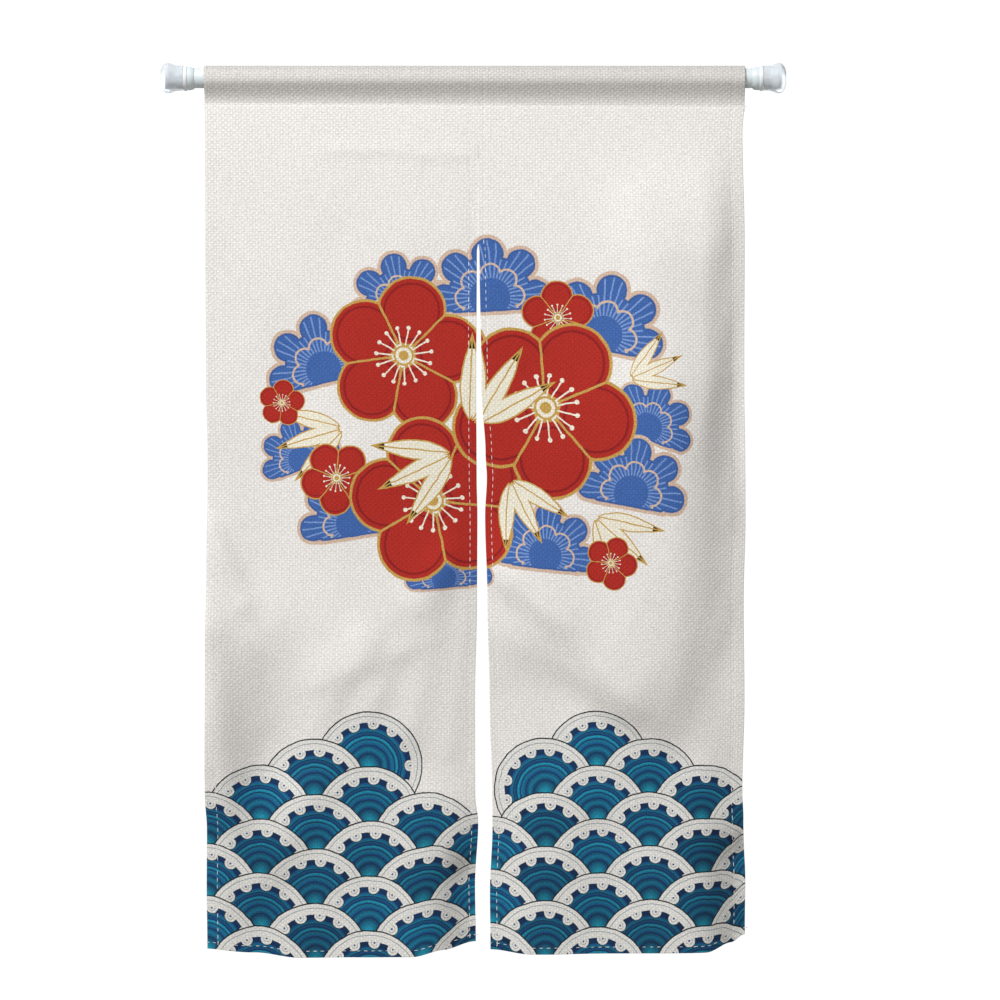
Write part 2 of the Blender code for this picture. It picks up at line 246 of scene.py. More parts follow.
# Print, where the flower cluster and the wave band lie
CLUSTER_ACROSS = (0.080, 0.810)
CLUSTER_DROP = (0.230, 0.850)
BAND_DROP = 0.940
BAND_SPAN = 0.250  # a crest height of 1 is this far below the band's highest place
CRESTS = (
    (0.00, 0.62), (0.12, 0.42), (0.28, 0.22), (0.40, 0.52), (0.50, 0.80),
    (0.62, 0.40), (0.74, 0.16), (0.88, 0.50), (1.00, 0.50),
)
SCALE_RADIUS = 0.088
BACK_STRENGTH = 0.28  # how much of the print shows through on the back

# The printed motifs in the order of printing, each with its middle, its size and its turn
Motif = namedtuple("Motif", "kind across drop size turn")
MOTIFS = (
    Motif("pine", 0.316, 0.362, 0.088, 12),
    Motif("pine", 0.456, 0.350, 0.100, 3),
    Motif("pine", 0.190, 0.466, 0.096, 14),
    Motif("pine", 0.634, 0.412, 0.104, -12),
    Motif("pine", 0.702, 0.560, 0.078, -22),
    Motif("pine", 0.152, 0.610, 0.070, 20),
    Motif("pine", 0.674, 0.664, 0.094, -10),
    Motif("pine", 0.236, 0.712, 0.092, 8),
    Motif("pine", 0.534, 0.764, 0.090, -6),
    Motif("pine", 0.384, 0.800, 0.066, 4),
    Motif("leaf", 0.224, 0.560, 0.120, 196),
    Motif("leaf", 0.614, 0.700, 0.120, -42),
    Motif("blossom", 0.562, 0.384, 0.060, 20),
    Motif("blossom", 0.210, 0.640, 0.060, 50),
    Motif("blossom", 0.320, 0.444, 0.128, 8),
    Motif("blossom", 0.366, 0.676, 0.136, 30),
    Motif("blossom", 0.540, 0.528, 0.148, -14),
    Motif("blossom", 0.642, 0.776, 0.044, 66),
    Motif("blossom", 0.122, 0.520, 0.038, 10),
    Motif("leaf", 0.426, 0.556, 0.150, 58),
    Motif("leaf", 0.402, 0.600, 0.140, 205),
    Motif("leaf", 0.474, 0.640, 0.120, -62),
    Motif("leaf", 0.674, 0.484, 0.096, 24),
)

# Inks
CLOTH = "#f1ede9"
RED = "#b32a20"
DEEP_RED = "#8f1a1c"
BLUE = "#4168ad"
LIGHT_BLUE = "#7c9ad2"
BEIGE = "#d8bca6"
GOLD = "#c9a152"
CREAM = "#f2ecd9"
BLACK = "#0f1820"
NAVY = "#0d3058"
MID_BLUE = "#145383"
TEAL = "#136f8e"
BRIGHT_TEAL = "#1c93ac"
FOAM = "#e9e7e2"
FOAM_LINE = "#8d9aa3"

# Studio
PICTURE_WIDTH = 1.600
CAMERA_AT = Vector((0.5426, -5.0, -0.6752))
SENSOR = 36.0
FLOOR_DROP = 1.95
FLOOR_RADIUS = 2.4
FLOOR_MIDDLE = 0.5
AIM = (0.5, 0.0, -0.7)  # the middle of the curtain, which every light is turned to
Light = namedtuple("Light", "name place watts size")
LIGHTS = (
    Light("key", (-2.86, -4.46, 4.15), 458, 1.4),
    Light("wash", (1.0, -2.4, 1.3), 19, 1.6),
    Light("fill", (3.4, -4.0, 0.4), 7, 2.4),
    Light("back_fill", (0.5, 4.5, 1.5), 160, 2.4),
)
ROOM_STRENGTH = 0.09
BACKDROP_STRENGTH = 1.03


def linear(code):
    """A hex sRGB colour as linear red, green, blue and alpha."""
    shares = [int(code[i : i + 2], 16) / 255 for i in (1, 3, 5)]
    return tuple(s / 12.92 if s <= 0.04045 else ((s + 0.055) / 1.055) ** 2.4 for s in shares) + (1.0,)


def add(tree, kind, inputs=None, stops=None, **settings):
    """Adds a node with its settings and a ramp's stops, and gives each input a value or a link."""
    made = tree.nodes.new(kind)
    for name, value in settings.items():
        setattr(made, name, value)
    if stops:
        elements = made.color_ramp.elements
        while len(elements) < len(stops):
            elements.new(1.0)
        for element, (position, colour) in zip(elements, stops):
            element.position = position
            element.color = colour
    for socket, value in (inputs or {}).items():
        if isinstance(value, bpy.types.NodeSocket):
            tree.links.new(value, made.inputs[socket])
        else:
            made.inputs[socket].default_value = value
    return made


def smooth(share):
    """0 below 0, 1 above 1, and smooth between."""
    share = np.clip(share, 0.0, 1.0)
    return share * share * (3 - 2 * share)


def from_table(rows, place, column):
    """A column's values at places on the table's first column, smooth between its rows."""
    places = np.array([row[0] for row in rows])
    values = np.array([getattr(row, column) for row in rows])
    after = np.clip(np.searchsorted(places, place), 1, len(rows) - 1)
    share = smooth((place - places[after - 1]) / (places[after] - places[after - 1]))
    return values[after - 1] + (values[after] - values[after - 1]) * share


Hem = namedtuple("Hem", "top bottom")  # a hem's width to its stitches, at the rod and at the bottom
Panel = namedtuple("Panel", "name low high low_edge high_edge low_hem high_hem lifts folds creases")
PANELS = (
    Panel(
        "left_panel", 0.0, SEAM_ACROSS, "left_side", "slit_left",
        Hem(0.0175, 0.0175), Hem(0.0136, 0.0096), LEFT_LIFTS, LEFT_FOLDS, LEFT_CREASES,
    ),
    Panel(
        "right_panel", SEAM_ACROSS, CLOTH_WIDTH, "slit_right", "right_side",
        Hem(0.0088, 0.0112), Hem(0.0186, 0.0186), RIGHT_LIFTS, RIGHT_FOLDS, RIGHT_CREASES,
    ),
)


def fold_height(fold, least_fade, across, drop):
    """How far one fold brings the cloth forward."""
    run_across = fold.across_end - fold.across_top
    run_drop = fold.drop_end - fold.drop_top
    length = math.hypot(run_across, run_drop)
    beyond_across = across - fold.across_top
    beyond_drop = drop - fold.drop_top
    reached = (beyond_across * run_across + beyond_drop * run_drop) / length
    past_end = np.maximum(0.0, np.maximum(-reached, reached - length))
    beside = (beyond_across * run_drop - beyond_drop * run_across) / length
    reach = np.where(beside > 0, fold.right_reach, fold.left_reach)
    fade = max(least_fade, fold.left_reach, fold.right_reach)
    return fold.height * np.exp(-((beside / reach) ** 2) - (past_end / fade) ** 2)


def forward(panel, across, drop):
    """How far the hanging cloth stands in front of the rod's axis."""
    total = sum(fold_height(fold, FOLD_FADE, across, drop) for fold in panel.folds)
    total = total + sum(fold_height(fold, CREASE_FADE, across, drop) for fold in panel.creases)
    for ripple in RIPPLES:
        waves = ripple.across * across + ripple.drop * drop
        total = total + ripple.height * np.sin(2 * math.pi * waves + ripple.phase)
    return total * smooth((drop - FOLDS_START) / (FOLDS_FULL - FOLDS_START))


def pocket_seam(across):
    """Drop of the pocket's seam, which slants a little."""
    return POCKET_SEAM_LEFT + (POCKET_SEAM_RIGHT - POCKET_SEAM_LEFT) * across / CLOTH_WIDTH


def hung_x(panel, across, drop):
    """Where a place across the flat panel hangs, between its two drawn-in edges."""
    low = panel.low + from_table(EDGES, drop, panel.low_edge)
    high = panel.high - from_table(EDGES, drop, panel.high_edge)
    if panel.low_edge == "slit_right":
        low = low - SEAM_OVERLAP
    else:
        high = high + SEAM_OVERLAP
    share = (across - panel.low) / (panel.high - panel.low)
    return CLOTH_LEFT + low + (high - low) * share


def column_places(panel):
    """The sheet's columns as (side, share, layer): each side's hem turned back, and the middle."""
    width = panel.high - panel.low - panel.low_hem.top - panel.high_hem.top
    count = round(width / COLUMN_SPACING)
    low_back = [("low", share, 1) for share in reversed(HEM_SHARES)]
    low_front = [("low", share, 0) for share in HEM_SHARES]
    middle = [("middle", step / count, 0) for step in range(1, count)]
    high_front = [("high", share, 0) for share in reversed(HEM_SHARES)]
    high_back = [("high", share, 1) for share in HEM_SHARES]
    return low_back + low_front + middle + high_front + high_back


def row_places():
    """The sheet's rows as (part, share, layer), from behind the rod over it and down to the hem."""
    rows = [("allowance", share, 0) for share in (1.0, 0.5)]
    rows += [("back_leg", step / LEG_ROWS, 0) for step in range(LEG_ROWS)]
    rows += [("loop", step / LOOP_ROWS, 0) for step in range(LOOP_ROWS)]
    rows += [("front_leg", step / LEG_ROWS, 0) for step in range(LEG_ROWS)]
    count = round(FLAT_DROP / ROW_SPACING)
    rows += [("hanging", 0.0, 0), ("hanging", FIRST_ROW_SHARE / count, 0)]
    rows += [("hanging", step / count, 0) for step in range(1, count)]
    rows += [("hem", share, 0) for share in reversed(HEM_SHARES)]
    rows += [("hem", share, 1) for share in HEM_SHARES]
    return rows


def across_of(panel, columns, drop_share):
    """Each column's place across the flat panel, at a share of the way down it."""
    low_hem = panel.low_hem.top + (panel.low_hem.bottom - panel.low_hem.top) * drop_share
    high_hem = panel.high_hem.top + (panel.high_hem.bottom - panel.high_hem.top) * drop_share
    inner_low = panel.low + low_hem * HEM_SHARES[-1]
    inner_high = panel.high - high_hem * HEM_SHARES[-1]
    place = {
        "low": lambda share: panel.low + low_hem * share,
        "middle": lambda share: inner_low + (inner_high - inner_low) * share,
        "high": lambda share: panel.high - high_hem * share,
    }
    return np.array([place[side](share) for side, share, _ in columns])


def pocket_row(part, share, seam):
    """A row in front of, over or behind the rod: y, z, inward y and z, and length up from the seam."""
    turn = 2 * math.pi - 2 * POCKET_LEAVES
    girth = POCKET_RADIUS * turn
    leave_y = POCKET_RADIUS * math.sin(POCKET_LEAVES)
    leave_z = -POCKET_RADIUS * math.cos(POCKET_LEAVES)
    leg = np.hypot(leave_y, seam + leave_z)
    level = np.zeros_like(seam)
    if part == "allowance":
        below = POCKET_ALLOWANCE * share
        return POCKET_BACK_GAP + level, -seam - below, level - 1, level, 2 * leg + girth + below
    if part == "loop":
        angle = POCKET_LEAVES + turn * share
        out_y = math.sin(angle) + level
        out_z = -math.cos(angle) + level
        return POCKET_RADIUS * out_y, POCKET_RADIUS * out_z, -out_y, -out_z, leg + girth * (1 - share)
    side = 1 if part == "back_leg" else -1
    down = 1 - share if part == "back_leg" else share
    end_y = POCKET_BACK_GAP if part == "back_leg" else 0.0
    leave = np.stack([side * leave_y + level, leave_z + level])
    off_rod = np.array([[-side * math.cos(POCKET_LEAVES)], [-math.sin(POCKET_LEAVES)]])
    leave_handle = leave + LEG_BOW * leg * off_rod
    end = np.stack([end_y + level, -seam])
    end_handle = end + LEG_BOW * leg * np.array([[0.0], [1.0]])
    place = leave * (1 - down) ** 3 + 3 * leave_handle * down * (1 - down) ** 2
    place = place + 3 * end_handle * down**2 * (1 - down) + end * down**3
    run = (leave_handle - leave) * (1 - down) ** 2 + 2 * (end_handle - leave_handle) * down * (1 - down)
    run = run + (end - end_handle) * down**2
    run = run / np.hypot(run[0], run[1])
    above = leg * (1 - down) if part == "front_leg" else leg + girth + leg * down
    return place[0], place[1], side * run[1], -side * run[0], above


def layers_behind(side, side_layer, hem_layer):
    """How many layers lie in front of this one: a corner's two hems make four."""
    if hem_layer == 0:
        return side_layer
    return 1 if side == "middle" else 3 - side_layer


def slope(panel, across, drop, step_across, step_drop):
    """How fast the cloth comes forward along a step, across it or down it."""
    ahead = forward(panel, across + step_across, drop + step_drop)
    behind = forward(panel, across - step_across, drop - step_drop)
    return (ahead - behind) / (2 * (step_across + step_drop))


Grid = namedtuple("Grid", "points across up columns rows outward")


def panel_grid(panel):
    """The sheet's middle surface: points, each point's place on the flat panel, and its outside."""
    columns, rows = column_places(panel), row_places()
    points = np.zeros((len(rows), len(columns), 3))
    outward = np.zeros_like(points)
    flat_across = np.zeros(points.shape[:2])
    flat_up = np.zeros(points.shape[:2])
    for index, (part, share, hem_layer) in enumerate(rows):
        if part == "hanging":
            drop_share = share
        elif part == "hem":
            drop_share = 1 - BOTTOM_HEM * share / FLAT_DROP
        else:
            drop_share = 0.0
        across = across_of(panel, columns, drop_share)
        seam = pocket_seam(across)
        layers = np.array([layers_behind(side, layer, hem_layer) for side, _, layer in columns])
        flat_across[index] = across
        if part in ("hanging", "hem"):
            drop = seam + (FLAT_DROP - seam) * drop_share
            slope_across = slope(panel, across, drop, SLOPE_STEP, 0.0)
            slope_drop = slope(panel, across, drop, 0.0, SLOPE_STEP)
            inward = np.stack([slope_across, np.ones_like(across), -slope_drop], axis=1)
            inward /= np.linalg.norm(inward, axis=1)[:, None]
            rise = from_table(panel.lifts, across, "rise")
            rise = rise * smooth((drop - LIFT_STARTS) / (FLAT_DROP - LIFT_STARTS))
            x = hung_x(panel, across, drop)
            place = np.stack([x, -forward(panel, across, drop), rise - drop], axis=1)
            flat_up[index] = -drop
        else:
            y, z, inward_y, inward_z, above = pocket_row(part, share, seam)
            place = np.stack([hung_x(panel, across, 0 * across), y, z], axis=1)
            inward = np.stack([0 * across, inward_y, inward_z], axis=1)
            flat_up[index] = above - seam
        sunk = np.array([STITCH_SINK if share_in == STITCH_SHARE else 0.0 for _, share_in, _ in columns])
        if part == "hem" and share == STITCH_SHARE or part == "hanging" and share == 0.0:
            sunk = np.full(len(columns), STITCH_SINK)
        depth = layers * LAYER_GAP + sunk * (layers == 0)
        points[index] = place + inward * depth[:, None]
        outward[index] = -inward
    return Grid(points, flat_across, flat_up, columns, rows, outward)


def zone_of(across, up):
    """Which finish a place has: 0 plain cloth, 1 the flower cluster, 2 the wave band."""
    if -up > BAND_DROP:
        return 2
    in_cluster = CLUSTER_ACROSS[0] < across < CLUSTER_ACROSS[1]
    return 1 if in_cluster and CLUSTER_DROP[0] < -up < CLUSTER_DROP[1] else 0


def make_sheet(panel, grid, materials):
    """One panel's cloth as a thin sheet, with its place on the flat cloth as its UV map."""
    height, width = grid.across.shape
    index = np.arange(height * width).reshape(height, width)
    faces = np.stack([index[:-1, :-1], index[1:, :-1], index[1:, 1:], index[:-1, 1:]], axis=-1).reshape(-1, 4)
    mesh = bpy.data.meshes.new(panel.name + "_cloth")
    mesh.from_pydata(grid.points.reshape(-1, 3).tolist(), [], faces.tolist())
    flat = np.stack([grid.across, grid.up], axis=-1).reshape(-1, 2)
    uv = mesh.uv_layers.new(name="flat_cloth")
    uv.uv.foreach_set("vector", flat[faces.reshape(-1)].astype(np.float32).ravel())
    centres = flat[faces].mean(axis=1)
    mesh.polygons.foreach_set("material_index", [zone_of(*centre) for centre in centres.tolist()])
    for material in materials:
        mesh.materials.append(material)
    mesh.shade_smooth()
    obj = bpy.data.objects.new(mesh.name, mesh)
    bpy.context.scene.collection.objects.link(obj)
    thickness = obj.modifiers.new("thickness", "SOLIDIFY")
    thickness.thickness = CLOTH_THICKNESS
    thickness.offset = 0.0
    thickness.material_offset = len(materials) // 2
    return obj


def stitch_lines(grid):
    """The lines that the stitches follow, on both sides of the cloth."""
    first_hanging = next(i for i, row in enumerate(grid.rows) if row[0] == "hanging")
    hem_rows = [i for i, row in enumerate(grid.rows) if row[0] == "hem" and row[1] == STITCH_SHARE]
    last_front = hem_rows[0] + 1
    surface = CLOTH_THICKNESS / 2
    lines = []
    for i, (side, share, layer) in enumerate(grid.columns):
        if share == STITCH_SHARE and side != "middle":
            outside = 1 if layer == 0 else -1
            run = slice(first_hanging, last_front)
            lines.append(grid.points[run, i] + outside * surface * grid.outward[run, i])
    front = [i for i, column in enumerate(grid.columns) if column[2] == 0]
    run = slice(front[0], front[-1] + 1)
    for row in [first_hanging] + hem_rows:
        outside = -1 if row == hem_rows[-1] else 1
        lines.append(grid.points[row, run] + outside * surface * grid.outward[row, run])
    return lines


def stitch_tree(material):
    """A node tree that sets a stitch at every pitch along the curves that it is given."""
    tree = bpy.data.node_groups.new("running_stitches", "GeometryNodeTree")
    tree.interface.new_socket("Lines", in_out="INPUT", socket_type="NodeSocketGeometry")
    for name in ("Pitch", "Length", "Thickness"):
        tree.interface.new_socket(name, in_out="INPUT", socket_type="NodeSocketFloat")
    tree.interface.new_socket("Stitches", in_out="OUTPUT", socket_type="NodeSocketGeometry")
    given = add(tree, "NodeGroupInput")
    at = add(
        tree, "GeometryNodeCurveToPoints",
        {"Curve": given.outputs["Lines"], "Length": given.outputs["Pitch"]}, mode="LENGTH",
    )
    bead = add(tree, "GeometryNodeMeshUVSphere", {"Segments": 8, "Rings": 6, "Radius": 0.5})
    soft = add(tree, "GeometryNodeSetShadeSmooth", {"Geometry": bead.outputs["Mesh"]})
    size = add(
        tree, "ShaderNodeCombineXYZ",
        {0: given.outputs["Length"], 1: given.outputs["Thickness"], 2: given.outputs["Thickness"]},
    )
    smallest, largest = STITCH_SIZES
    uneven = add(tree, "FunctionNodeRandomValue", {2: smallest, 3: largest, "Seed": 7}, data_type="FLOAT")
    scale = add(
        tree, "ShaderNodeVectorMath",
        {0: size.outputs["Vector"], "Scale": uneven.outputs[1]}, operation="SCALE",
    )
    along = add(tree, "FunctionNodeAlignRotationToVector", {"Vector": at.outputs["Tangent"]}, axis="X")
    placed = add(
        tree, "GeometryNodeInstanceOnPoints",
        {
            "Points": at.outputs["Points"], "Instance": soft.outputs["Geometry"],
            "Rotation": along.outputs["Rotation"], "Scale": scale.outputs["Vector"],
        },
    )
    real = add(tree, "GeometryNodeRealizeInstances", {"Geometry": placed.outputs["Instances"]})
    dyed = add(
        tree, "GeometryNodeSetMaterial",
        {"Geometry": real.outputs["Geometry"], "Material": material},
    )
    add(tree, "NodeGroupOutput", {"Stitches": dyed.outputs["Geometry"]})
    return tree


def make_stitches(name, lines, tree):
    """The stitches of one panel as a plain mesh."""
    curve = bpy.data.curves.new(name + "_lines", "CURVE")
    curve.dimensions = "3D"
    for line in lines:
        spline = curve.splines.new("POLY")
        spline.points.add(len(line) - 1)
        spline.points.foreach_set("co", np.insert(line, 3, 1.0, axis=1).astype(np.float32).ravel())
    guide = bpy.data.objects.new(name + "_lines", curve)
    bpy.context.scene.collection.objects.link(guide)
    sewing = guide.modifiers.new("sewing", "NODES")
    sewing.node_group = tree
    sizes = {"Pitch": STITCH_PITCH, "Length": STITCH_LENGTH, "Thickness": STITCH_THICKNESS}
    for item in tree.interface.items_tree:
        if item.name in sizes:
            sewing[item.identifier] = sizes[item.name]
    graph = bpy.context.evaluated_depsgraph_get()
    mesh = bpy.data.meshes.new_from_object(guide.evaluated_get(graph))
    mesh.name = name
    bpy.data.objects.remove(guide)
    obj = bpy.data.objects.new(name, mesh)
    bpy.context.scene.collection.objects.link(obj)
    return obj


def turned(name, profile, closed, from_right, material):
    """A piece turned about the rod's axis from (radius, distance from the rod's end) points."""
    bm = bmesh.new()
    ring = [bm.verts.new((distance, 0.0, radius)) for radius, distance in profile]
    ends = ring[1:] + ring[:1] if closed else ring[1:]
    for start, end in zip(ring, ends):
        bm.edges.new((start, end))
    geometry = list(bm.verts) + list(bm.edges)
    bmesh.ops.spin(bm, geom=geometry, axis=(1, 0, 0), cent=(0, 0, 0), angle=2 * math.pi, steps=TURN_STEPS)
    bmesh.ops.remove_doubles(bm, verts=bm.verts, dist=MERGE_DISTANCE)
    if from_right:
        for vertex in bm.verts:
            vertex.co.x = ROD_LENGTH - vertex.co.x
    bmesh.ops.recalc_face_normals(bm, faces=bm.faces)
    mesh = bpy.data.meshes.new(name)
    bm.to_mesh(mesh)
    bm.free()
    mesh.materials.append(material)
    mesh.shade_smooth()
    mesh.set_sharp_from_angle(angle=SHARP_ANGLE)
    obj = bpy.data.objects.new(name, mesh)
    bpy.context.scene.collection.objects.link(obj)
    return obj


def rounded(profile, radius, steps=4):
    """A profile with each marked corner, (radius, distance, True), eased into an arc."""
    points = []
    for i, (across, along, *eased) in enumerate(profile):
        if not eased:
            points.append((across, along))
            continue
        corner = Vector((across, along))
        before = Vector(profile[i - 1][:2]) - corner
        after = Vector(profile[(i + 1) % len(profile)][:2]) - corner
        reach = min(radius, before.length / 2, after.length / 2)
        start = corner + before.normalized() * reach
        end = corner + after.normalized() * reach
        for step in range(steps + 1):
            share = step / steps
            points.append(tuple(start.lerp(corner, share).lerp(corner.lerp(end, share), share)))
    return points


def tube_profile():
    """The painted tube, with its cut ends eased."""
    start, end, easing = TUBE_END, ROD_LENGTH - TUBE_END, 0.0004
    inner = TUBE_RADIUS - TUBE_WALL
    corners = [(inner, start), (TUBE_RADIUS, start, True), (TUBE_RADIUS, end, True), (inner, end)]
    return rounded(corners, easing)


def ferrule_profile():
    """A ferrule: a raised lip by the foot, then a sleeve that slopes down to the tube."""
    sleeve, taper, taper_radius, easing = 0.0192, 0.0055, 0.0172, 0.0016
    bore = TUBE_RADIUS + FIT_GAP
    corners = [
        (bore, FERRULE_START),
        (LIP_RADIUS, FERRULE_START, True),
        (LIP_RADIUS, FERRULE_START + LIP_WIDTH, True),
        (sleeve, FERRULE_START + LIP_WIDTH),
        (sleeve, FERRULE_END - taper, True),
        (taper_radius, FERRULE_END, True),
        (bore, FERRULE_END),
    ]
    return rounded(corners, easing)


def foot_profile():
    """A flared rubber foot with a domed end, a flat spot in its middle, and a socket."""
    face, rim_at, neck, neck_at, easing = 0.0080, 0.0115, 0.0199, 0.0262, 0.0008
    dome_steps, waist_steps = 16, 12
    points = [(0.0, 0.0)]
    for step in range(dome_steps + 1):
        angle = math.pi / 2 * step / dome_steps
        radius = face + (FOOT_RIM_RADIUS - face) * math.sin(angle)
        points.append((radius, rim_at * (1 - math.cos(angle))))
    for step in range(1, waist_steps + 1):
        share = step / waist_steps
        radius = FOOT_RIM_RADIUS + (neck - FOOT_RIM_RADIUS) * float(smooth(share))
        points.append((radius, rim_at + (neck_at - rim_at) * share))
    socket = TUBE_RADIUS + FIT_GAP
    floor = TUBE_END - FIT_GAP
    ending = [points[-1], (neck, FOOT_LENGTH, True), (socket, FOOT_LENGTH), (socket, floor), (0.0, floor)]
    return points[:-1] + rounded(ending, easing)


def make_camera():
    """A camera straight in front, as in the photograph."""
    camera = bpy.data.cameras.new("camera")
    camera.sensor_width = SENSOR
    camera.lens = SENSOR * abs(CAMERA_AT.y) / PICTURE_WIDTH
    obj = bpy.data.objects.new("camera", camera)
    obj.location = CAMERA_AT
    obj.rotation_euler = (math.pi / 2, 0, 0)
    bpy.context.scene.collection.objects.link(obj)
    bpy.context.scene.camera = obj


def make_light(light):
    """A square soft light in its place, turned to the middle of the curtain."""
    lamp = bpy.data.lights.new(light.name, "AREA")
    lamp.shape = "SQUARE"
    lamp.size = light.size
    lamp.energy = light.watts
    obj = bpy.data.objects.new(light.name, lamp)
    obj.location = light.place
    obj.rotation_euler = (Vector(AIM) - Vector(light.place)).to_track_quat("-Z", "Y").to_euler()
    bpy.context.scene.collection.objects.link(obj)


def make_studio():
    """A pale floor, a white backdrop and soft lights, all but one of them in front."""
    for obj in list(bpy.data.objects):
        if obj.type in ("LIGHT", "CAMERA") or obj.name == "Cube":
            bpy.data.objects.remove(obj)
    make_camera()
    for light in LIGHTS:
        make_light(light)

    world = bpy.data.worlds.new("white_room")
    bpy.context.scene.world = world
    world.use_nodes = True
    tree = world.node_tree
    tree.nodes.clear()
    seen = add(tree, "ShaderNodeLightPath")
    room = add(tree, "ShaderNodeBackground", {"Color": (1, 1, 1, 1), "Strength": ROOM_STRENGTH})
    backdrop = add(
        tree, "ShaderNodeBackground", {"Color": (1, 1, 1, 1), "Strength": BACKDROP_STRENGTH},
    )
    plain = add(
        tree, "ShaderNodeMath",
        {0: seen.outputs["Is Camera Ray"], 1: seen.outputs["Is Transmission Ray"]}, operation="MAXIMUM",
    )
    shown = add(
        tree, "ShaderNodeMixShader", {0: plain.outputs[0], 1: room.outputs[0], 2: backdrop.outputs[0]},
    )
    add(tree, "ShaderNodeOutputWorld", {"Surface": shown.outputs[0]})

    bm = bmesh.new()
    bmesh.ops.create_circle(bm, cap_ends=True, radius=FLOOR_RADIUS, segments=96)
    for vertex in bm.verts:
        vertex.co += Vector((FLOOR_MIDDLE, 0.0, -FLOOR_DROP))
    mesh = bpy.data.meshes.new("floor")
    bm.to_mesh(mesh)
    bm.free()
    floor = bpy.data.objects.new("floor", mesh)
    bpy.context.scene.collection.objects.link(floor)
    paint = bpy.data.materials.new("pale_floor")
    paint.use_nodes = True
    paint.node_tree.nodes["Principled BSDF"].inputs["Base Color"].default_value = linear("#c4c2be")
    mesh.materials.append(paint)
    bpy.context.scene.view_settings.view_transform = "Standard"


def new_material(name):
    """An empty material and its node tree."""
    material = bpy.data.materials.new(name)
    material.use_nodes = True
    material.node_tree.nodes.clear()
    return material, material.node_tree


def new_group(name, inputs, outputs):
    """A shader node group with named sockets. Returns its tree and its input node."""
    tree = bpy.data.node_groups.new(name, "ShaderNodeTree")
    for direction, sockets in (("INPUT", inputs), ("OUTPUT", outputs)):
        for socket, kind in sockets.items():
            tree.interface.new_socket(socket, in_out=direction, socket_type="NodeSocket" + kind)
    return tree, add(tree, "NodeGroupInput")


def clear(code):
    """A colour with no ink in it, for the end of a ramp."""
    return linear(code)[:3] + (0.0,)


def folded(tree, spot, sectors):
    """A spot's distance from the middle, and the spot turned into the half sector beside +X."""
    axes = add(tree, "ShaderNodeSeparateXYZ", {0: spot})
    angle = add(tree, "ShaderNodeMath", {0: axes.outputs[1], 1: axes.outputs[0]}, operation="ARCTAN2")
    within = add(tree, "ShaderNodeMath", {0: angle.outputs[0], 1: math.pi / sectors}, operation="PINGPONG")
    radius = add(tree, "ShaderNodeVectorMath", {0: spot}, operation="LENGTH").outputs["Value"]
    level = add(tree, "ShaderNodeCombineXYZ", {0: radius})
    moved = add(
        tree, "ShaderNodeVectorRotate",
        {"Vector": level.outputs[0], "Angle": within.outputs[0]}, rotation_type="Z_AXIS",
    )
    return radius, moved.outputs[0]


